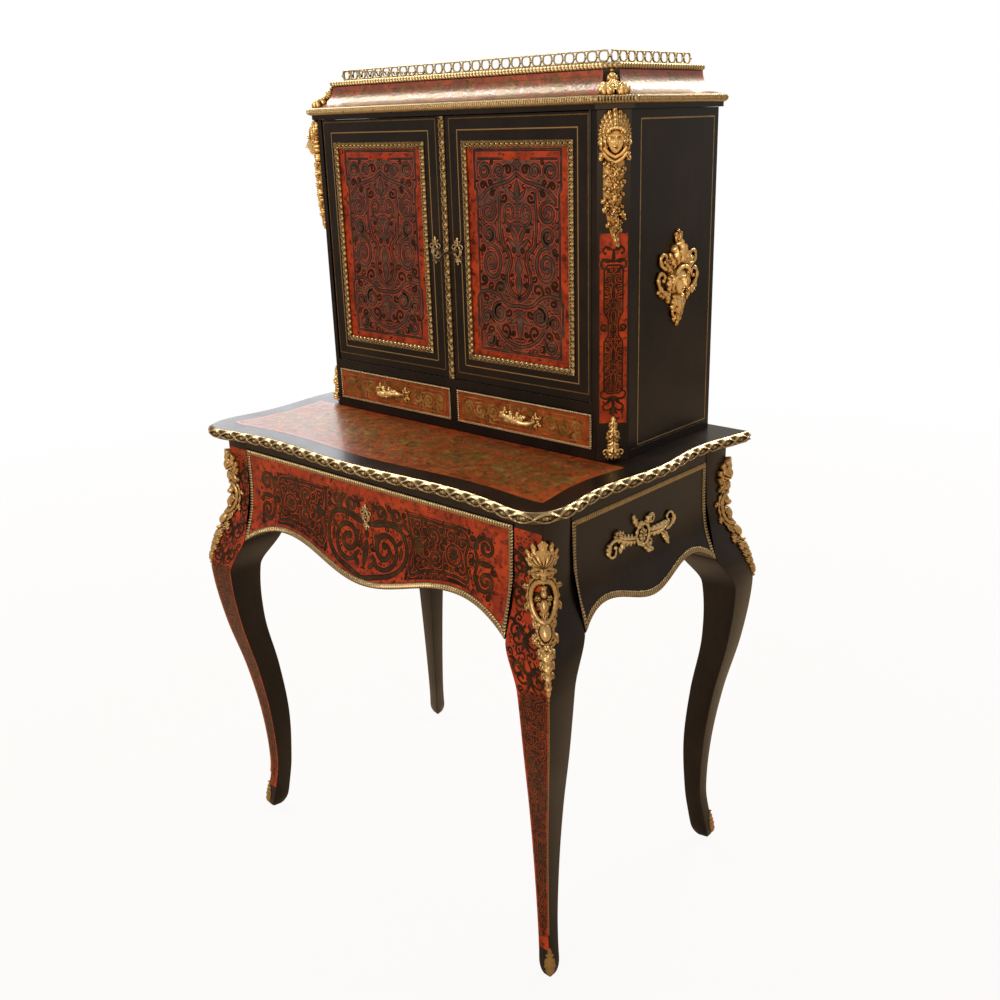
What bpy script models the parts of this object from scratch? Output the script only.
"""Bonheur du jour: a small lady's writing desk with a cupboard standing on its table top.

Metres, +Z up, +Y to the back, +X to the right as one faces the doors.
The origin is on the floor, under the middle of the object's outline.
Lengths that are depths towards the front are given as positive numbers and turned to -Y where used.
"""
import bpy
import bmesh
from math import atan2, ceil, cos, pi, sin
from mathutils import Vector

# Clearances
SEAT = 0.0003            # glued or resting faces
RUN = 0.0012             # doors and drawers in their openings
MEET = 0.0016            # between the two doors

# Base: legs and swelling aprons
BASE_HALF_WIDTH = 0.352  # outer face of the side aprons, under the top
BASE_HALF_DEPTH = 0.230  # outer face of the drawer front, under the top
POST_WIDTH = 0.050       # leg post, across the front
POST_DEPTH = 0.060       # leg post, along the side
APRON_THICK = 0.022      # at the top, where the apron is thinnest
RAIL_HIGH = 0.018        # black rail over the frieze drawer
RAIL_DEEP = 0.045

# Leg stations: share of the leg's height, then swell, face width and depth to the inner arris
LEG_STATIONS = [
    (0.000, 0.0070, 0.0240, 0.0305),
    (0.060, -0.0015, 0.0220, 0.0285),
    (0.134, -0.0075, 0.0230, 0.0285),
    (0.268, -0.0035, 0.0285, 0.0360),
    (0.402, 0.0090, 0.0365, 0.0420),
    (0.536, 0.0280, 0.0470, 0.0490),
    (0.670, 0.0385, 0.0570, 0.0615),
    (0.723, 0.0330, 0.0635, 0.0700),
    (0.770, 0.0215, 0.0700, 0.0750),
    (0.830, 0.0065, 0.0700, 0.0750),
    (0.884, 0.0010, 0.0700, 0.0750),
    (1.000, 0.0000, 0.0700, 0.0750),
]
LEG_RINGS = 48
KNEE_SHARE = 0.670       # the station of the knee
KNEE_FILLET = 2.2        # how quickly the leg draws in under the apron

# Table top
TOP_HEIGHT = 0.765
TOP_THICK = 0.018
TOP_SIDE_OVER = 0.019    # overhang past the side aprons, mean of the wavy sides
TOP_FRONT_OVER = 0.0205  # overhang past the drawer front, mean of the wavy front
TOP_BACK_OVER = 0.010
TOP_WAVE = 0.0055        # height of the serpentine waves
FRONT_DIP = 0.21         # where the front is hollow, from the middle
SIDE_DIP = 0.12          # where the sides are hollow, from the middle
CORNER_FLARE = 0.022     # how far the front edge swings out at the corners
SIDE_FLARE = 0.008
CORNER_CUT = 0.055       # length of the rounded corner along each edge

# Brass edge moulding of the table top
EDGE_HIGH = 0.0165
EDGE_OUT = 0.008

# Lower edges of the aprons, as depths under the table top board
LOBE_DEEP = 0.180        # middle lobe, and the joints with the legs
FRONT_ARCH_DEEP = 0.145  # arches on either side of the lobe
FRONT_ARCH_AT = 0.195
SIDE_ARCH_DEEP = 0.155
SIDE_ARCH_AT = 0.110

# Frieze drawer
DRAWER_SIDE_THICK = 0.012
DRAWER_BACK_THICK = 0.012
DRAWER_BOTTOM_THICK = 0.006
DRAWER_BOTTOM_UP = 0.004  # the bottom sits in a groove this far up
DRAWER_BOX_HIGH = 0.110
DRAWER_BACK_ROOM = 0.0227  # box short of the rear legs
DRAWER_BOX_INSET = 0.010  # box narrower than its front, each side
DRAWER_TOP_ROOM = 0.006   # box top under the front's top
RUNNER_HIGH = 0.0135
RUNNER_REACH = 0.004      # runner reaches this far past the drawer side
LOCK_WIDE = 0.050
LOCK_HIGH = 0.040
LOCK_DEEP = 0.010
FRIEZE_KEYHOLE_DROP = 0.055  # keyhole under the drawer front's top
KEYHOLE_RADIUS = 0.0026

# Upper cabinet
CAB_DEEP = 0.250
CAB_BACK_IN = 0.020      # cabinet's back in from the back of the table top
CAB_SIDE_IN = 0.0485     # cabinet's sides in from the sides of the table top
CAB_CANT = 0.0325        # canted corner, along each face
CAB_HIGH = 0.503         # table top to the top of the cabinet's top board
CAB_BOARD = 0.015        # sides
BACK_THICK = 0.012
BOTTOM_THICK = 0.014
TOP_BOARD_THICK = 0.018
TOP_BOARD_OVER = 0.008
POST_LAP = 0.0088        # flat of the corner post beside the door
POST_CORE = 0.0312       # post depth behind the front, on the side of the door
POST_BACK = 0.050        # post depth behind the front, at the cabinet's side
DIVIDER_THICK = 0.012
FLOOR_THICK = 0.015
SMALL_DRAWER_HIGH = 0.056  # opening for the small drawers
SHELF_THICK = 0.010
SHELF_UP = 0.200         # shelf above the cupboard floor
HOUSING = 0.005          # depth of the shelf's housing in the sides

# Doors
DOOR_THICK = 0.018
PIVOT_IN = 0.005         # pivot axis from the door's front and from its outer edge
PIN_RADIUS = 0.002
PIN_FIT = 0.0003
PIN_IN_DOOR = 0.012
PIN_IN_BOARD = 0.008
PANEL_SIDE = 0.035       # stile beside the panel, at the hinge
PANEL_INNER = 0.045      # from the cabinet's middle to the panel
PANEL_RAIL = 0.041       # rails over and under the panel
PANEL_THICK = 0.010
PANEL_SUNK = 0.0015
ASTRAGAL_WIDE = 0.0104   # brass moulding over the meeting of the doors
ASTRAGAL_OUT = 0.0055

# Lock, key and escutcheons
KEY_AT = 0.024           # keyhole from the cabinet's middle
KEY_UP = 0.202           # keyhole above the cupboard floor
KEY_SHANK = 0.002
KEY_OUT = 0.040          # shank in front of the door
KEY_BOW = 0.0075
KEY_WIRE = 0.0019
KEY_BIT = 0.007
KEY_BIT_WIDE = 0.003
CASE_WIDE = 0.036
CASE_HIGH = 0.060
CASE_DEEP = 0.012
CASE_WALL = 0.003
PLATE_WIDE = 0.022
PLATE_HIGH = 0.040
PLATE_THICK = 0.002
PLATE_WAVE = 0.16        # how far the plate's outline dips between its lobes

# Small drawers
SMALL_FRONT_THICK = 0.014
SMALL_BACK_ROOM = 0.0337  # box short of the cabinet's back
SMALL_BOX_HIGH = 0.046
SMALL_WALL = 0.007
SMALL_FLOOR = 0.004
SMALL_INSET = 0.002      # box narrower than its front, each side
HANDLE_SPAN = 0.060
HANDLE_OUT = 0.0185
HANDLE_WIRE = 0.003

# Cornice, coved roof and gallery
CORNICE_HIGH = 0.0115
CORNICE_OUT = 0.008
COVE_IN = 0.035          # run of the cove
COVE_RISE = 0.0325
COVE_FILLET = 0.008      # upright edge under the gallery
COVE_SET = 0.002         # cove's foot inside the edge of the top board
ROOF_CANT = 0.014        # canted corner at the top of the roof
ROOF_WALL = 0.028        # flat rim of the cove around the roof panel
ROOF_PANEL_THICK = 0.008
GALLERY_HIGH = 0.017
GALLERY_THICK = 0.0024
GALLERY_PITCH = 0.0195
GALLERY_IN = 0.019       # gallery from the front and side edges of the roof
GALLERY_END = 0.004      # side gallery's end from the back of the roof
GALLERY_RAIL = 0.0032    # solid strip over and under each ring

# Gilt mounts with a worked solid
MOUNT_TOP_DROP = 0.022   # leg mount's top, under the table top board
MOUNT_LONG = 0.215
MOUNT_WIDE = 0.030       # widest reach along each face of the leg
MOUNT_PROUD = 0.009
MOUNT_EDGE = 0.4         # share of the relief at the mount's rim
MOUNT_RIDGE = 0.7        # share of the relief over the leg's arris, each way
MASK_LONG = 0.180
MASK_WIDE = 0.050
MASK_PROUD = 0.024
MASK_CHEEK = 0.75        # where the rounded relief bends, as a share of its half width
MASK_ROUND = 0.65        # and of its height
MASK_DROP = 0.002        # mask's top under the top board

# Finishes: colour, roughness, metallic
EBONISED = ((0.012, 0.010, 0.009), 0.28, 0.0)
MARQUETRY = ((0.30, 0.035, 0.018), 0.32, 0.0)
OAK = ((0.32, 0.19, 0.09), 0.60, 0.0)
GILT = ((0.62, 0.42, 0.14), 0.32, 1.0)
IRON = ((0.25, 0.24, 0.22), 0.45, 1.0)

# Widths, depths and heights that follow
TOP_HALF_WIDTH = BASE_HALF_WIDTH + TOP_SIDE_OVER
TOP_FRONT = BASE_HALF_DEPTH + TOP_FRONT_OVER
TOP_BACK = BASE_HALF_DEPTH + TOP_BACK_OVER
CAB_HALF_WIDTH = TOP_HALF_WIDTH - CAB_SIDE_IN
CAB_BACK = TOP_BACK - CAB_BACK_IN
CAB_FRONT = CAB_DEEP - CAB_BACK          # front face, in front of the middle of the base
LEG_TOP = TOP_HEIGHT - TOP_THICK - SEAT
POST_X = BASE_HALF_WIDTH - POST_WIDTH
POST_Y = BASE_HALF_DEPTH - POST_DEPTH
POST_FOOT = LEG_TOP - LOBE_DEEP
FRIEZE_TOP = LEG_TOP - RAIL_HIGH - RUN
FRIEZE_HALF = POST_X - RUN
FRIEZE_INNER = BASE_HALF_DEPTH - APRON_THICK   # back of the drawer front, as a depth
BOX_HALF = FRIEZE_HALF - DRAWER_BOX_INSET
BOX_Z1 = FRIEZE_TOP - DRAWER_TOP_ROOM
BOX_Z0 = BOX_Z1 - DRAWER_BOX_HIGH
BOX_FRONT = -FRIEZE_INNER + SEAT
BOX_BACK = POST_Y - DRAWER_BACK_ROOM
CAB_Z0 = TOP_HEIGHT + SEAT
CAB_Z1 = CAB_Z0 + BOTTOM_THICK
TOP_BOARD_Z1 = TOP_HEIGHT + CAB_HIGH
TOP_BOARD_Z0 = TOP_BOARD_Z1 - TOP_BOARD_THICK
WALL_Z0 = CAB_Z1 + SEAT
WALL_Z1 = TOP_BOARD_Z0 - SEAT
FLOOR_Z0 = CAB_Z1 + SMALL_DRAWER_HIGH
FLOOR_Z1 = FLOOR_Z0 + FLOOR_THICK
POST_INNER = CAB_HALF_WIDTH - CAB_CANT - POST_LAP
BACK_Y0 = CAB_BACK - BACK_THICK
INNER_X = CAB_HALF_WIDTH - CAB_BOARD
DOOR_Z0 = FLOOR_Z1 + RUN
DOOR_Z1 = TOP_BOARD_Z0 - RUN
DOOR_OUTER = POST_INNER - RUN
SEAM_X = -ASTRAGAL_WIDE / 2 - MEET / 2   # the seam lies at the left of the meeting moulding
PIVOT_X = DOOR_OUTER - PIVOT_IN
PIVOT_Y = -CAB_FRONT + PIVOT_IN
PANEL_Z0 = DOOR_Z0 + PANEL_RAIL
PANEL_Z1 = DOOR_Z1 - PANEL_RAIL
KEY_Z = FLOOR_Z1 + KEY_UP
ROOF_Z0 = TOP_BOARD_Z1 + SEAT
ROOF_Z1 = ROOF_Z0 + COVE_RISE + COVE_FILLET


# Scene and mesh tools

def clear_scene():
    for old in list(bpy.data.objects):
        bpy.data.objects.remove(old, do_unlink=True)


def dress(piece, finish):
    """Give a piece its own Principled material."""
    colour, roughness, metallic = finish
    material = bpy.data.materials.new(piece.name + "_finish")
    material.use_nodes = True
    shader = material.node_tree.nodes["Principled BSDF"]
    shader.inputs["Base Color"].default_value = (*colour, 1.0)
    shader.inputs["Roughness"].default_value = roughness
    shader.inputs["Metallic"].default_value = metallic
    piece.data.materials.append(material)


def make(name, points, faces, finish, smooth=False):
    """One object from points and faces, with its faces turned outwards."""
    mesh = bpy.data.meshes.new(name)
    mesh.from_pydata([tuple(p) for p in points], [], faces)
    form = bmesh.new()
    form.from_mesh(mesh)
    bmesh.ops.recalc_face_normals(form, faces=form.faces)
    form.to_mesh(mesh)
    form.free()
    if smooth:
        mesh.shade_smooth()
        mesh.set_sharp_from_angle(angle=pi / 5)
    piece = bpy.data.objects.new(name, mesh)
    bpy.context.scene.collection.objects.link(piece)
    if finish:
        dress(piece, finish)
    return piece


def loft(name, rings, finish, closed=False, smooth=False):
    """Skin rings of equal count; capped at both ends, or closed into a ring."""
    count = len(rings[0])
    points = [p for ring in rings for p in ring]
    faces = []
    steps = len(rings) if closed else len(rings) - 1
    for i in range(steps):
        a = i * count
        b = ((i + 1) % len(rings)) * count
        for j in range(count):
            k = (j + 1) % count
            faces.append((a + j, a + k, b + k, b + j))
    if not closed:
        faces.append(tuple(range(count)))
        faces.append(tuple(range(len(points) - count, len(points))))
    return make(name, points, faces, finish, smooth)


AXIS_ORDER = {
    "x": lambda a, b, c: (c, a, b),
    "y": lambda a, b, c: (a, c, b),
    "z": lambda a, b, c: (a, b, c),
}


def prism(name, outline, axis, low, high, finish, smooth=False):
    """Extrude an outline along an axis; its two coordinates keep the order x, y, z."""
    place = AXIS_ORDER[axis]
    rings = [[place(a, b, level) for a, b in outline] for level in (low, high)]
    return loft(name, rings, finish, smooth=smooth)


def block(name, x, y, z, finish):
    outline = [(x[0], y[0]), (x[1], y[0]), (x[1], y[1]), (x[0], y[1])]
    return prism(name, outline, "z", z[0], z[1], finish)


def disc(radius, centre, sides=12):
    return [(centre[0] + radius * cos(2 * pi * i / sides), centre[1] + radius * sin(2 * pi * i / sides))
            for i in range(sides)]


def combine(piece, tool, operation):
    """Boolean with a hidden tool object."""
    tool.hide_render = True
    tool.display_type = "WIRE"
    change = piece.modifiers.new(operation.lower() + "_" + tool.name, "BOOLEAN")
    change.operation = operation
    change.solver = "EXACT"
    change.object = tool


def cut(piece, tool):
    combine(piece, tool, "DIFFERENCE")


def sides():
    """Left and right, with the sign of X."""
    return (("left", -1), ("right", 1))


def smooth_value(stations, column, t):
    """Cubic curve through the stations, with finite-difference slopes."""
    rows = [(s[0], s[column]) for s in stations]
    for i in range(len(rows) - 1):
        if t <= rows[i + 1][0]:
            break
    slopes = []
    for k in (i, i + 1):
        before = rows[max(k - 1, 0)]
        after = rows[min(k + 1, len(rows) - 1)]
        slopes.append((after[1] - before[1]) / (after[0] - before[0]))
    (t0, v0), (t1, v1) = rows[i], rows[i + 1]
    h = t1 - t0
    u = (t - t0) / h
    return ((1 + 2 * u) * (1 - u) ** 2 * v0 + u * (1 - u) ** 2 * h * slopes[0]
            + u * u * (3 - 2 * u) * v1 + u * u * (u - 1) * h * slopes[1])


def swell(z):
    """How far the outer faces of legs and aprons stand out at a height."""
    return smooth_value(LEG_STATIONS, 1, min(max(z / LEG_TOP, 0.0), 1.0))


def faceted_swell(z):
    """The swell as the legs' flat facets have it, straight between their rings."""
    step = LEG_TOP / LEG_RINGS
    ring = min(int(z / step), LEG_RINGS - 1)
    share = z / step - ring
    return swell(ring * step) * (1 - share) + swell((ring + 1) * step) * share


# Table top and its moulding

def front_edge(x):
    """Depth of the front edge: a cosine wave that flares out at the corners."""
    return TOP_FRONT + TOP_WAVE * cos(pi * x / FRONT_DIP) + CORNER_FLARE * (x / TOP_HALF_WIDTH) ** 6


def side_edge(y):
    """Half width at a depth: a cosine wave that flares out at both ends."""
    return TOP_HALF_WIDTH + TOP_WAVE * cos(pi * y / SIDE_DIP) + SIDE_FLARE * (y / TOP_FRONT) ** 6


def half_edge(step=0.012):
    """Right half of the top's edge, from the middle of the front round the corner to the back."""
    x_end = TOP_HALF_WIDTH - CORNER_CUT
    y_end = -TOP_FRONT + CORNER_CUT
    count = ceil(x_end / step)
    points = [(x_end * i / count, -front_edge(x_end * i / count)) for i in range(count + 1)]
    start = Vector(points[-1])
    stop = Vector((side_edge(y_end), y_end))
    slope = (start - Vector(points[-2])).normalized()
    run = Vector((side_edge(y_end) - side_edge(y_end + step), -step)).normalized()
    reach = (stop - start).dot(Vector((1, 0)))
    corner_a = start + slope * reach
    corner_b = stop + run * (stop - corner_a).length
    tip = (corner_a + corner_b) / 2
    bends = 10
    for i in range(1, bends):
        u = i / bends
        points.append(tuple(start * (1 - u) ** 2 + tip * (2 * u * (1 - u)) + stop * u ** 2))
    count = ceil((TOP_BACK - y_end) / step)
    for i in range(count + 1):
        y = y_end + (TOP_BACK - y_end) * i / count
        points.append((side_edge(y), y))
    return points


def mirrored(points):
    """A half path on the right, made whole: left end first."""
    return [(-x, y) for x, y in reversed(points[1:])] + list(points)


def path_piece(path, start, stop):
    """The stretch of a polyline between two lengths along it."""
    out = []
    along = 0.0
    for a, b in zip(path, path[1:]):
        a, b = Vector(a), Vector(b)
        length = (b - a).length
        for cut_at in (start, stop):
            if along <= cut_at < along + length and not (cut_at == stop and not out):
                out.append(tuple(a.lerp(b, (cut_at - along) / length)))
        along += length
        if start < along < stop:
            out.append(tuple(b))
    if stop >= along - 1e-9 and out[-1] != tuple(path[-1]):
        out.append(tuple(path[-1]))
    return out


def path_length(path):
    return sum((Vector(b) - Vector(a)).length for a, b in zip(path, path[1:]))


def moulding_rings(path, profile):
    """Carry a profile of (outwards, height) along a plan path, mitred at its corners.

    The path runs left to right in front, so outwards is to its right."""
    rings = []
    for i, here in enumerate(path):
        here = Vector(here)
        before = here - Vector(path[i - 1]) if i else Vector(path[1]) - here
        after = Vector(path[i + 1]) - here if i + 1 < len(path) else before
        n0 = Vector((before.y, -before.x)).normalized()
        n1 = Vector((after.y, -after.x)).normalized()
        mitre = n0 + n1
        mitre = mitre * (2.0 / mitre.dot(mitre))
        rings.append([(here.x + out * mitre.x, here.y + out * mitre.y, z) for out, z in profile])
    return rings


def ovolo(foot, high, out):
    """Moulding section: flat back, rounded nose."""
    return [(SEAT, foot), (SEAT + 0.5 * out, foot), (out, foot + 0.3 * high), (out, foot + 0.65 * high),
            (SEAT + 0.6 * out, foot + high), (SEAT, foot + high)]


def build_top(root):
    edge = mirrored(half_edge())
    prism("table_top", edge, "z", TOP_HEIGHT - TOP_THICK, TOP_HEIGHT, EBONISED).parent = root
    profile = ovolo(TOP_HEIGHT - EDGE_HIGH - SEAT, EDGE_HIGH, EDGE_OUT)
    whole = path_length(edge)
    corner = path_length(half_edge()[half_edge_corner():])
    spans = {
        "edge_moulding_left": (0.0, corner - SEAT / 2),
        "edge_moulding_front": (corner + SEAT / 2, whole - corner - SEAT / 2),
        "edge_moulding_right": (whole - corner + SEAT / 2, whole),
    }
    for name, (start, stop) in spans.items():
        rings = moulding_rings(path_piece(edge, start, stop), profile)
        loft(name, rings, GILT).parent = root


def half_edge_corner():
    """Index of the middle of the rounded corner in the half edge."""
    points = half_edge()
    diagonal = [p[0] / TOP_HALF_WIDTH - p[1] / TOP_FRONT for p in points]
    return diagonal.index(max(diagonal))


# Legs, aprons and rails

def leg_ring(z):
    """Section of the right front leg, in (x, depth) with depth positive to the front."""
    t = z / LEG_TOP
    out = swell(z)
    face = smooth_value(LEG_STATIONS, 2, t)
    deep = smooth_value(LEG_STATIONS, 3, t)
    ax = BASE_HALF_WIDTH + out
    ay = BASE_HALF_DEPTH + out
    knee = KNEE_SHARE * LEG_TOP
    k = min(max((POST_FOOT - z) / (POST_FOOT - knee), 0.0), 1.0)
    k = 1 - (1 - k) ** KNEE_FILLET
    bx = POST_X + k * (ax - face - POST_X)
    dy = POST_Y + k * (ay - face - POST_Y)
    cx = POST_X + k * (ax - deep - POST_X)
    cy = POST_Y + k * (ay - deep - POST_Y)
    return [(ax, ay), (bx, ay), (cx, cy), (ax, dy)]


def build_legs(root):
    heights = [LEG_TOP * i / LEG_RINGS for i in range(LEG_RINGS + 1)]
    for end, sy in (("front", -1), ("rear", 1)):
        for side, sx in sides():
            rings = [[(sx * x, sy * y, z) for x, y in leg_ring(z)] for z in heights]
            loft(f"leg_{end}_{side}", rings, EBONISED, smooth=True).parent = root


def lower_edge(s, arch_at, arch_deep, half):
    """Height of an apron's lower edge: a cosine lobe in the middle, an arch, then down to the leg."""
    lobe = LEG_TOP - LOBE_DEEP
    arch = LEG_TOP - arch_deep
    s = abs(s)
    if s <= arch_at:
        return (lobe + arch) / 2 - (arch - lobe) / 2 * cos(pi * s / arch_at)
    return arch - (arch - lobe) * ((s - arch_at) / (half - arch_at)) ** 2


def swelling_board(name, half, outer, inner, top, arch, place, finish):
    """Board with a swelling outer face, a flat inner face and a shaped lower edge.

    A section in (outwards, z) is carried along the board; place puts (along, outwards, z) in space."""
    stations = 32
    levels = 9
    rings = []
    for i in range(stations + 1):
        s = -half + 2 * half * i / stations
        foot = lower_edge(s, arch[0], arch[1], half)
        heights = [foot + (top - foot) * j / levels for j in range(levels + 1)]
        ring = [place(s, outer + swell(z), z) for z in heights]
        rings.append(ring + [place(s, inner, top), place(s, inner, foot)])
    return loft(name, rings, finish, smooth=True)


def build_aprons(root):
    side_arch = (SIDE_ARCH_AT, SIDE_ARCH_DEEP)
    front_arch = (FRONT_ARCH_AT, FRONT_ARCH_DEEP)
    for side, sx in sides():
        board = swelling_board(f"apron_{side}", POST_Y - SEAT, BASE_HALF_WIDTH, BASE_HALF_WIDTH - APRON_THICK,
                               LEG_TOP, side_arch, lambda s, out, z, sx=sx: (sx * out, s, z), EBONISED)
        board.parent = root
    swelling_board("apron_rear", POST_X - SEAT, BASE_HALF_DEPTH, BASE_HALF_DEPTH - APRON_THICK, LEG_TOP,
                   front_arch, lambda s, out, z: (s, out, z), EBONISED).parent = root
    block("front_top_rail", (-POST_X + SEAT, POST_X - SEAT), (-BASE_HALF_DEPTH, -BASE_HALF_DEPTH + RAIL_DEEP),
          (LEG_TOP - RAIL_HIGH, LEG_TOP), EBONISED).parent = root


# Frieze drawer and its runners

def build_runners(root):
    for side, sx in sides():
        x = sorted((sx * (BOX_HALF - DRAWER_SIDE_THICK - RUNNER_REACH),
                    sx * (BASE_HALF_WIDTH - APRON_THICK - SEAT)))
        block(f"drawer_runner_{side}", x, (-POST_Y + SEAT, POST_Y - SEAT),
              (BOX_Z0 - SEAT - RUNNER_HIGH, BOX_Z0 - SEAT), OAK).parent = root


def escutcheon(name, centre, back, finish):
    """Small pierced plate with a waved outline, lying on a face that looks to -Y."""
    outline = []
    points = 24
    for i in range(points):
        a = 2 * pi * i / points
        reach = 1.0 - PLATE_WAVE * (1 - cos(4 * a)) / 2
        outline.append((centre[0] + reach * PLATE_WIDE / 2 * cos(a),
                        centre[1] + reach * PLATE_HIGH / 2 * sin(a)))
    plate = prism(name, outline, "y", back - PLATE_THICK, back, finish)
    hole = prism(name + "_keyhole_tool", disc(KEYHOLE_RADIUS, centre), "y",
                 back - 2 * PLATE_THICK, back + PLATE_THICK, None)
    cut(plate, hole)
    return plate, hole


def build_frieze_drawer(root):
    body = bpy.data.objects.new("frieze_drawer_slide", None)
    body.location = (0, -BASE_HALF_DEPTH, (BOX_Z0 + BOX_Z1) / 2)
    front = swelling_board("frieze_drawer_front", FRIEZE_HALF, BASE_HALF_DEPTH, FRIEZE_INNER, FRIEZE_TOP,
                           (FRONT_ARCH_AT, FRONT_ARCH_DEEP), lambda s, out, z: (s, -out, z), MARQUETRY)
    key_z = FRIEZE_TOP - FRIEZE_KEYHOLE_DROP
    face = -BASE_HALF_DEPTH - swell(key_z - PLATE_HIGH / 2) - SEAT
    hole = prism("frieze_keyhole_tool", disc(KEYHOLE_RADIUS, (0, key_z)), "y",
                 face - PLATE_THICK, -FRIEZE_INNER + LOCK_DEEP, None)
    cut(front, hole)
    plate, plate_hole = escutcheon("frieze_drawer_escutcheon", (0, key_z), face, GILT)
    pieces = [front, hole, plate, plate_hole]
    for side, sx in sides():
        x = sorted((sx * (BOX_HALF - DRAWER_SIDE_THICK), sx * BOX_HALF))
        pieces.append(block(f"frieze_drawer_side_{side}", x, (BOX_FRONT, BOX_BACK), (BOX_Z0, BOX_Z1), OAK))
    inner = BOX_HALF - DRAWER_SIDE_THICK - SEAT
    back_y = BOX_BACK - DRAWER_BACK_THICK
    pieces.append(block("frieze_drawer_back", (-inner, inner), (back_y, BOX_BACK), (BOX_Z0, BOX_Z1), OAK))
    bottom_z = BOX_Z0 + DRAWER_BOTTOM_UP
    pieces.append(block("frieze_drawer_bottom", (-inner, inner), (BOX_FRONT, back_y - SEAT),
                        (bottom_z, bottom_z + DRAWER_BOTTOM_THICK), OAK))
    pieces.append(block("frieze_drawer_lock", (-LOCK_WIDE / 2, LOCK_WIDE / 2),
                        (BOX_FRONT, BOX_FRONT + LOCK_DEEP),
                        (key_z - LOCK_HIGH / 2, key_z + LOCK_HIGH / 2), IRON))
    carry(body, pieces, root)


def carry(body, pieces, root):
    """Hang pieces on an empty that stands on the joint's axis, with their meshes left in place."""
    bpy.context.scene.collection.objects.link(body)
    body.parent = root
    for piece in pieces:
        piece.parent = body
        piece.location = -body.location


# Upper cabinet

def canted_plan(grow, cant):
    """Plan of the cabinet grown by an overhang, with its two front corners canted."""
    f = -CAB_FRONT - grow
    x = CAB_HALF_WIDTH + grow
    return [(-x, CAB_BACK), (-x, f + cant), (-x + cant, f), (x - cant, f), (x, f + cant), (x, CAB_BACK)]


def cabinet_plan(grow=0.0):
    """The cant grows with the overhang so that all faces move out alike."""
    return canted_plan(grow, CAB_CANT + grow * (2 - 2 ** 0.5))


def post_plan(sx):
    front = -CAB_FRONT
    plan = [(POST_INNER, front), (CAB_HALF_WIDTH - CAB_CANT, front), (CAB_HALF_WIDTH, front + CAB_CANT),
            (CAB_HALF_WIDTH, front + POST_BACK), (POST_INNER + POST_BACK - POST_CORE, front + POST_BACK),
            (POST_INNER, front + POST_CORE)]
    return [(sx * x, y) for x, y in plan]


def build_cabinet(root):
    pieces = [prism("cabinet_bottom", cabinet_plan(), "z", CAB_Z0, CAB_Z1, EBONISED),
              prism("cabinet_top_board", cabinet_plan(TOP_BOARD_OVER), "z", TOP_BOARD_Z0, TOP_BOARD_Z1,
                    EBONISED)]
    shelf_z = FLOOR_Z1 + SHELF_UP
    wall_y = (-CAB_FRONT + POST_BACK + SEAT, CAB_BACK)
    shelf_x = INNER_X + HOUSING - SEAT
    for side, sx in sides():
        pieces.append(prism(f"corner_post_{side}", post_plan(sx), "z", WALL_Z0, WALL_Z1, EBONISED))
        x = sorted((sx * INNER_X, sx * CAB_HALF_WIDTH))
        wall = block(f"cabinet_side_{side}", x, wall_y, (WALL_Z0, WALL_Z1), EBONISED)
        x = sorted((sx * (INNER_X - HOUSING), sx * (INNER_X + HOUSING)))
        groove = block(f"shelf_housing_tool_{side}", x, (wall_y[0] - HOUSING, BACK_Y0),
                       (shelf_z - SEAT, shelf_z + SHELF_THICK + SEAT), None)
        cut(wall, groove)
        pieces += [wall, groove]
    inner = INNER_X - SEAT
    pieces.append(block("cabinet_back", (-inner, inner), (BACK_Y0, CAB_BACK), (WALL_Z0, WALL_Z1), EBONISED))
    pieces.append(block("drawer_divider", (-DIVIDER_THICK / 2, DIVIDER_THICK / 2),
                        (-CAB_FRONT, BACK_Y0 - SEAT), (WALL_Z0, FLOOR_Z0 - SEAT), EBONISED))
    lap = POST_INNER - SEAT
    wide = POST_BACK - POST_CORE
    front = -CAB_FRONT
    right = [(lap, front), (lap, front + POST_CORE + SEAT), (lap + wide, front + POST_BACK + SEAT),
             (inner, front + POST_BACK + SEAT), (inner, BACK_Y0 - SEAT)]
    plan = right + [(-x, y) for x, y in reversed(right)]
    pieces.append(prism("cupboard_floor", plan, "z", FLOOR_Z0, FLOOR_Z1, EBONISED))
    pieces.append(block("cupboard_shelf", (-shelf_x, shelf_x), (wall_y[0], BACK_Y0 - SEAT),
                        (shelf_z, shelf_z + SHELF_THICK), OAK))
    for piece in pieces:
        piece.parent = root


# Doors

def door_plan(inner, outer, sx):
    """Plan of a door; its front outer edge is rounded about the pivot."""
    plan = [(inner, -CAB_FRONT), (outer - PIVOT_IN, -CAB_FRONT)]
    turns = 6
    for i in range(1, turns + 1):
        a = -pi / 2 + pi / 2 * i / turns
        plan.append((outer - PIVOT_IN + PIVOT_IN * cos(a), PIVOT_Y + PIVOT_IN * sin(a)))
    plan += [(outer, -CAB_FRONT + DOOR_THICK), (inner, -CAB_FRONT + DOOR_THICK)]
    return [(sx * x, y) for x, y in plan]


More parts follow.
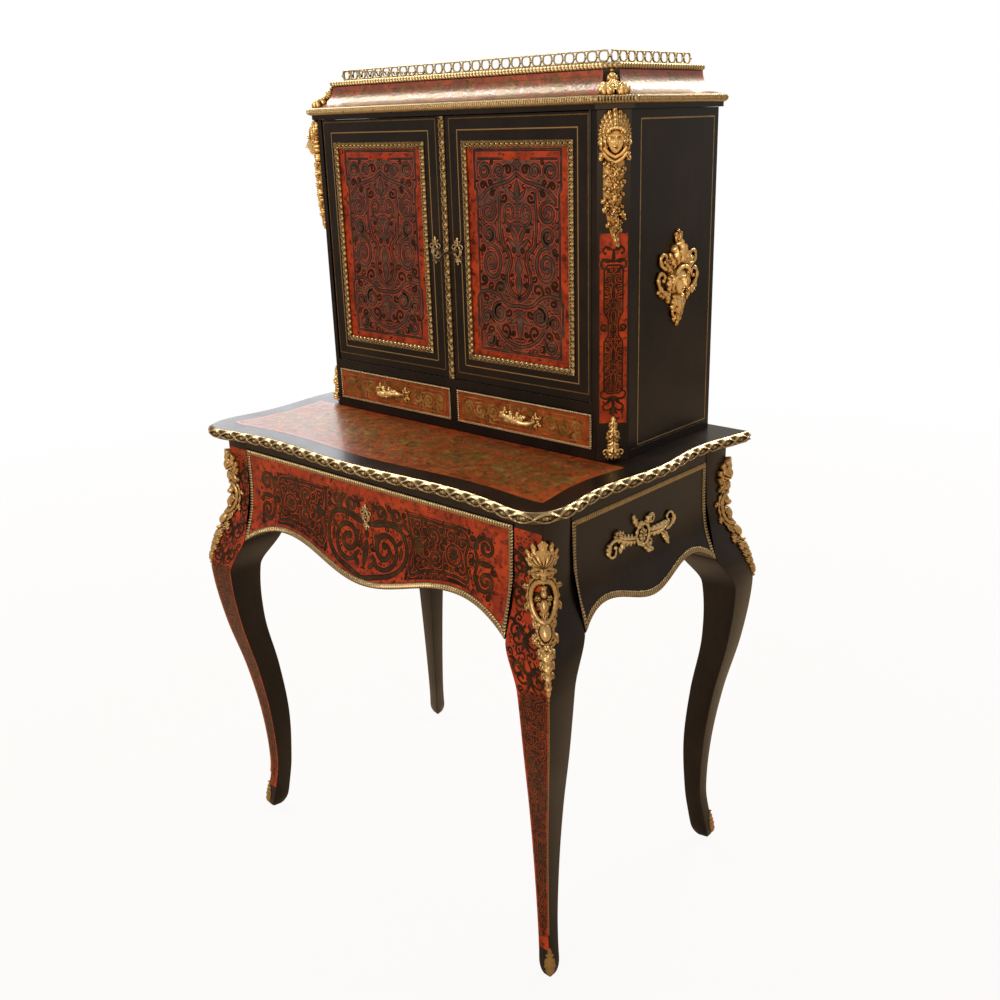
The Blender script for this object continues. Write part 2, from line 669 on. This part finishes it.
def build_door(side, sx, root):
    """A framed door with its panel, pins and escutcheon; returns its empty and its frame."""
    body = bpy.data.objects.new(f"door_{side}_pivot", None)
    body.location = (sx * PIVOT_X, PIVOT_Y, DOOR_Z0)
    inner = sx * SEAM_X + MEET / 2
    frame = prism(f"door_{side}", door_plan(inner, DOOR_OUTER, sx), "z", DOOR_Z0, DOOR_Z1, EBONISED)
    panel_x = sorted((sx * PANEL_INNER, sx * (DOOR_OUTER - PANEL_SIDE)))
    face = -CAB_FRONT + PANEL_SUNK
    opening = block(f"door_opening_tool_{side}", panel_x, (-CAB_FRONT - RUN, -CAB_FRONT + DOOR_THICK + RUN),
                    (PANEL_Z0, PANEL_Z1), None)
    cut(frame, opening)
    pieces = [frame, opening]
    pieces.append(block(f"door_panel_{side}", (panel_x[0] + SEAT, panel_x[1] - SEAT),
                        (face, face + PANEL_THICK), (PANEL_Z0 + SEAT, PANEL_Z1 - SEAT), MARQUETRY))
    axis = (sx * PIVOT_X, PIVOT_Y)
    for end, low, high in (("bottom", FLOOR_Z1 - PIN_IN_BOARD, DOOR_Z0 + PIN_IN_DOOR),
                           ("top", DOOR_Z1 - PIN_IN_DOOR, TOP_BOARD_Z0 + PIN_IN_BOARD)):
        pieces.append(prism(f"door_{side}_{end}_pin", disc(PIN_RADIUS, axis), "z", low, high, IRON))
        hole = prism(f"pin_hole_tool_{side}_{end}", disc((PIN_RADIUS + PIN_FIT) / cos(pi / 12), axis), "z",
                     low - PIN_FIT, high + PIN_FIT, None)
        hole.parent = root
        cut(frame, hole)
        cut(bpy.data.objects["cupboard_floor" if end == "bottom" else "cabinet_top_board"], hole)
    keyhole = (sx * KEY_AT, KEY_Z)
    drill = prism(f"door_keyhole_tool_{side}", disc(KEYHOLE_RADIUS, keyhole), "y",
                  -CAB_FRONT - RUN, -CAB_FRONT + DOOR_THICK + RUN, None)
    cut(frame, drill)
    plate, hole = escutcheon(f"door_escutcheon_{side}", keyhole, -CAB_FRONT - SEAT, GILT)
    pieces += [drill, plate, hole]
    return body, pieces


def build_doors(root):
    body, pieces = build_door("left", -1, root)
    carry(body, pieces, root)
    body, pieces = build_door("right", 1, root)
    half = ASTRAGAL_WIDE / 2
    y = -CAB_FRONT - SEAT
    nose = [(-half, y), (-half, y - 0.4 * ASTRAGAL_OUT), (-0.5 * half, y - ASTRAGAL_OUT),
            (0.5 * half, y - ASTRAGAL_OUT), (half, y - 0.4 * ASTRAGAL_OUT), (half, y)]
    pieces.append(prism("meeting_moulding", nose, "z", DOOR_Z0, DOOR_Z1, GILT))
    back = -CAB_FRONT + DOOR_THICK + SEAT
    case_x = (KEY_AT - CASE_WIDE / 2, KEY_AT + CASE_WIDE / 2)
    case_z = (KEY_Z - CASE_HIGH / 2, KEY_Z + CASE_HIGH / 2)
    case = block("door_lock", case_x, (back, back + CASE_DEEP), case_z, IRON)
    pocket = prism("lock_pocket_tool", disc(KEY_BIT + CASE_WALL, (KEY_AT, KEY_Z), 16), "y",
                   back - CASE_WALL, back + CASE_DEEP - CASE_WALL, None)
    cut(case, pocket)
    pieces += [case, pocket]
    carry(body, pieces, root)
    build_key(body, back)


def build_key(door, back):
    """Key in the right door's lock: shank along Y, ring bow in front, bit in the lock case."""
    body = bpy.data.objects.new("key_turn", None)
    bpy.context.scene.collection.objects.link(body)
    body.parent = door
    body.location = Vector((KEY_AT, -CAB_FRONT, KEY_Z)) - door.location
    tip = back + CASE_DEEP - CASE_WALL - RUN
    eye = -CAB_FRONT - KEY_OUT
    key = prism("door_key", disc(KEY_SHANK, (KEY_AT, KEY_Z)), "y", eye, tip, GILT)
    bow_y = eye - KEY_BOW + KEY_WIRE
    rings = []
    for i in range(20):
        a = 2 * pi * i / 20
        ring = []
        for j in range(8):
            b = 2 * pi * j / 8 + pi / 8
            reach = KEY_BOW + KEY_WIRE * cos(b)
            ring.append((KEY_AT + KEY_WIRE * sin(b), bow_y + reach * cos(a), KEY_Z + reach * sin(a)))
        rings.append(ring)
    bow = loft("key_bow_tool", rings, None, closed=True)
    half = KEY_BIT_WIDE / 2
    bit = block("key_bit_tool", (KEY_AT - half, KEY_AT + half), (back + RUN, tip - RUN),
                (KEY_Z - KEY_BIT, KEY_Z), None)
    combine(key, bow, "UNION")
    combine(key, bit, "UNION")
    for piece in (key, bow, bit):
        piece.parent = body
        piece.location = -(body.location + door.location)


# Small drawers

def tray(name, x, y, z, wall, floor, finish):
    """Open box: four walls and a bottom in one piece."""
    outer = [(x[0], y[0]), (x[1], y[0]), (x[1], y[1]), (x[0], y[1])]
    inner = [(x[0] + wall, y[0] + wall), (x[1] - wall, y[0] + wall), (x[1] - wall, y[1] - wall),
             (x[0] + wall, y[1] - wall)]
    rings = [[(a, b, z[0]) for a, b in outer], [(a, b, z[1]) for a, b in outer],
             [(a, b, z[1]) for a, b in inner], [(a, b, z[0] + floor) for a, b in inner]]
    return loft(name, rings, finish)


def bow_handle(name, x, face, z):
    """Cast bow handle: one bent rod whose two feet stand on the drawer front."""
    steps = 18
    rings = []
    half = HANDLE_SPAN / 2
    for i in range(steps + 1):
        a = pi * i / steps
        across = -half * cos(a) * (1.0 + 0.12 * sin(a) ** 2)
        out = HANDLE_OUT * sin(a) ** 0.7 if 0 < i < steps else 0.0
        rings.append((across, out))
    skins = []
    for i, (across, out) in enumerate(rings):
        before = rings[max(i - 1, 0)]
        after = rings[min(i + 1, steps)]
        angle = atan2(after[1] - before[1], after[0] - before[0])
        if i in (0, steps):
            angle = pi / 2 if i == 0 else -pi / 2
        skin = []
        for j in range(8):
            b = 2 * pi * j / 8
            side = HANDLE_WIRE * cos(b)
            skin.append((x + across - side * sin(angle), face - out - side * cos(angle),
                         z + HANDLE_WIRE * sin(b)))
        skins.append(skin)
    return loft(name, skins, GILT, smooth=True)


def build_small_drawers(root):
    low = CAB_Z1 + SEAT
    front_z = (CAB_Z1 + RUN, FLOOR_Z0 - RUN)
    face = -CAB_FRONT
    for side, sx in sides():
        body = bpy.data.objects.new(f"small_drawer_{side}_slide", None)
        near = DIVIDER_THICK / 2 + RUN
        far = POST_INNER - RUN
        body.location = (sx * (near + far) / 2, face, (front_z[0] + front_z[1]) / 2)
        x = sorted((sx * near, sx * far))
        front_y = (face, face + SMALL_FRONT_THICK)
        pieces = [block(f"small_drawer_{side}_front", x, front_y, front_z, MARQUETRY)]
        pieces.append(tray(f"small_drawer_{side}_box", (x[0] + SMALL_INSET, x[1] - SMALL_INSET),
                           (front_y[1] + SEAT, BACK_Y0 - SMALL_BACK_ROOM), (low, low + SMALL_BOX_HIGH),
                           SMALL_WALL, SMALL_FLOOR, OAK))
        pieces.append(bow_handle(f"small_drawer_{side}_handle", body.location.x, face - SEAT,
                                 body.location.z))
        carry(body, pieces, root)


# Cornice, roof and gallery

def roof_plan(inset):
    """Plan of the roof at a distance in from the foot of the cove; the cants narrow as it rises."""
    grow = TOP_BOARD_OVER - COVE_SET - inset
    share = inset / COVE_IN
    return canted_plan(grow, CAB_CANT + (ROOF_CANT - CAB_CANT) * share)


def build_roof():
    profile = ovolo(TOP_BOARD_Z1 - CORNICE_HIGH, CORNICE_HIGH, CORNICE_OUT)
    pieces = [loft("cornice_moulding", moulding_rings(cabinet_plan(TOP_BOARD_OVER), profile), GILT)]
    turns = 8
    rings = []
    for i in range(turns + 1):
        a = pi / 2 * i / turns
        inset = COVE_IN * sin(a)
        rings.append([(x, y, ROOF_Z0 + COVE_RISE * (1 - cos(a))) for x, y in roof_plan(inset)])
    rings.append([(x, y, ROOF_Z1) for x, y in roof_plan(COVE_IN)])
    rim = roof_plan(COVE_IN)
    hole = [(x - ROOF_WALL * (1 if x > 0 else -1), min(max(y, rim[2][1] + ROOF_WALL), CAB_BACK - ROOF_WALL))
            for x, y in rim]
    rings.append([(x, y, ROOF_Z1) for x, y in hole])
    rings.append([(x, y, ROOF_Z0) for x, y in hole])
    pieces.append(loft("roof_cove", rings, MARQUETRY, closed=True))
    x_in = rim[5][0] - ROOF_WALL - SEAT
    y_in = rim[2][1] + ROOF_WALL + SEAT
    return pieces, x_in, y_in


def gallery(name, start, stop, foot):
    """Pierced strip: a row of square cells, each with a round hole, between two rails."""
    start, stop = Vector(start), Vector(stop)
    run = stop - start
    along = run.normalized()
    across = Vector((along.y, -along.x)) * (GALLERY_THICK / 2)
    count = max(1, round(run.length / GALLERY_PITCH))
    pitch = run.length / count
    radius = GALLERY_HIGH / 2 - GALLERY_RAIL
    sides_count = 12
    points = []
    index = {}

    def point(s, z, face):
        key = (round(s, 7), round(z, 7), face)
        if key not in index:
            spot = start + along * s + across * face
            index[key] = len(points)
            points.append((spot.x, spot.y, foot + z))
        return index[key]

    faces = []
    for i in range(count):
        middle = (i + 0.5) * pitch
        rim = []
        ring = []
        for j in range(sides_count):
            a = 2 * pi * (j + 0.5) / sides_count
            ring.append((middle + min(radius, 0.42 * pitch) * cos(a), GALLERY_HIGH / 2 + radius * sin(a)))
            k = max(abs(cos(a)), abs(sin(a)))
            rim.append((middle + pitch / 2 * cos(a) / k, GALLERY_HIGH / 2 * (1 + sin(a) / k)))
        for j in range(sides_count):
            k = (j + 1) % sides_count
            turn_j, turn_k = rim[j], rim[k]
            corner = None
            if abs(turn_j[0] - turn_k[0]) > 1e-6 and abs(turn_j[1] - turn_k[1]) > 1e-6:
                corner = (middle + (pitch / 2 if turn_j[0] + turn_k[0] > 2 * middle else -pitch / 2),
                          GALLERY_HIGH if turn_j[1] + turn_k[1] > GALLERY_HIGH else 0.0)
            for face in (-1, 1):
                loop = [ring[j], rim[j]] + ([corner] if corner else []) + [rim[k], ring[k]]
                faces.append(tuple(point(s, z, face) for s, z in loop))
            faces.append((point(*ring[j], -1), point(*ring[k], -1), point(*ring[k], 1), point(*ring[j], 1)))
            edge = [rim[j]] + ([corner] if corner else []) + [rim[k]]
            for a, b in zip(edge, edge[1:]):
                flat = abs(a[1] - b[1]) < 1e-6
                upright = abs(a[0] - b[0]) < 1e-6
                at_end = upright and not 1e-6 < a[0] < run.length - 1e-6
                if flat or at_end:
                    faces.append((point(*a, -1), point(*b, -1), point(*b, 1), point(*a, 1)))
    return make(name, points, faces, GILT)


def build_gallery():
    rim = roof_plan(COVE_IN)
    x = rim[5][0] - GALLERY_IN
    y = rim[2][1] + GALLERY_IN
    half = GALLERY_THICK / 2
    foot = ROOF_Z1 + SEAT
    pieces = [gallery("gallery_front", (-x - half, y), (x + half, y), foot)]
    for side, sx in sides():
        pieces.append(gallery(f"gallery_{side}", (sx * x, y + half + SEAT), (sx * x, CAB_BACK - GALLERY_END),
                              foot))
    return pieces


def build_crown(root):
    pieces, x_in, y_in = build_roof()
    panel = block("roof_top_panel", (-x_in, x_in), (y_in, CAB_BACK - ROOF_WALL - SEAT),
                  (ROOF_Z1 - ROOF_PANEL_THICK, ROOF_Z1), EBONISED)
    for piece in pieces + [panel] + build_gallery():
        piece.parent = root


# Gilt mounts

def leg_mount_reach(u):
    """Half width of the leg mount: shell, oval cartouche, pendant of husks; u runs down from 0 to 1."""
    shell = 0.55 * max(0.0, 1 - ((u - 0.09) / 0.10) ** 2) ** 0.5 if u < 0.19 else 0.0
    oval = max(0.0, 1 - ((u - 0.36) / 0.24) ** 2) ** 0.5
    husk = 0.42 * (1 - u) + 0.10
    return MOUNT_WIDE * max(shell, oval, husk)


def build_leg_mounts(root):
    top = LEG_TOP - MOUNT_TOP_DROP
    foot = top - MOUNT_LONG
    step = LEG_TOP / LEG_RINGS
    heights = [top] + [i * step for i in range(LEG_RINGS, 0, -1) if foot < i * step < top] + [foot]
    for side, sx in sides():
        rings = []
        for z in heights:
            u = (top - z) / MOUNT_LONG
            reach = leg_mount_reach(u)
            proud = MOUNT_PROUD * (0.45 + 0.55 * sin(pi * min(1.0, u * 1.25)))
            out = faceted_swell(z)
            ax = BASE_HALF_WIDTH + out + SEAT
            ay = BASE_HALF_DEPTH + out + SEAT
            edge = MOUNT_EDGE * proud
            ridge = MOUNT_RIDGE * proud
            ring = [(ax, ay), (ax - reach, ay), (ax - reach, ay + edge), (ax + ridge, ay + ridge),
                    (ax + edge, ay - reach), (ax, ay - reach)]
            rings.append([(sx * x, -y, z) for x, y in ring])
        loft(f"leg_mount_front_{side}", rings, GILT).parent = root


def mask_reach(u):
    """Half width of the mask mount: headdress and head, then garlands that taper to a point."""
    head = max(0.0, 1 - ((u - 0.20) / 0.21) ** 2) ** 0.5
    drop = 0.72 * (1 - u) ** 0.8 + 0.12
    return MASK_WIDE / 2 * max(head, drop if u > 0.25 else 0.3)


def mask_proud(u):
    head = max(0.0, 1 - ((u - 0.22) / 0.20) ** 2) ** 0.5
    return MASK_PROUD * max(head, 0.45 * (1 - u) + 0.12)


def build_mask_mounts(root):
    """Relief on the canted corner: flat back, rounded front, widths down its length."""
    steps = 20
    top = TOP_BOARD_Z0 - MASK_DROP
    middle = (CAB_HALF_WIDTH - CAB_CANT / 2, -CAB_FRONT + CAB_CANT / 2)
    q = 0.5 ** 0.5
    for side, sx in sides():
        rings = []
        for i in range(steps + 1):
            u = i / steps
            reach = mask_reach(u)
            proud = mask_proud(u)
            cheek = (MASK_CHEEK * reach, MASK_ROUND * proud)
            section = [(-reach, SEAT), (-cheek[0], cheek[1]), (0.0, proud), cheek, (reach, SEAT)]
            z = top - MASK_LONG * u
            rings.append([(sx * (middle[0] + q * (along + out)), middle[1] + q * (along - out), z)
                          for along, out in section])
        loft(f"corner_mask_mount_{side}", rings, GILT).parent = root


def centre_outline(root):
    """Put the middle of the object's outline over the origin, front to back."""
    bpy.context.view_layer.update()
    depths = [(o.matrix_world @ v.co).y for o in bpy.data.objects if o.type == "MESH" and not o.hide_render
              for v in o.data.vertices]
    root.location.y = -(min(depths) + max(depths)) / 2


def main():
    clear_scene()
    root = bpy.data.objects.new("bonheur_du_jour", None)
    bpy.context.scene.collection.objects.link(root)
    build_top(root)
    build_legs(root)
    build_aprons(root)
    build_runners(root)
    build_frieze_drawer(root)
    build_cabinet(root)
    build_doors(root)
    build_small_drawers(root)
    build_crown(root)
    build_leg_mounts(root)
    build_mask_mounts(root)
    centre_outline(root)
    print("shift to the middle of the outline, metres:", round(root.location.y, 6))


main()
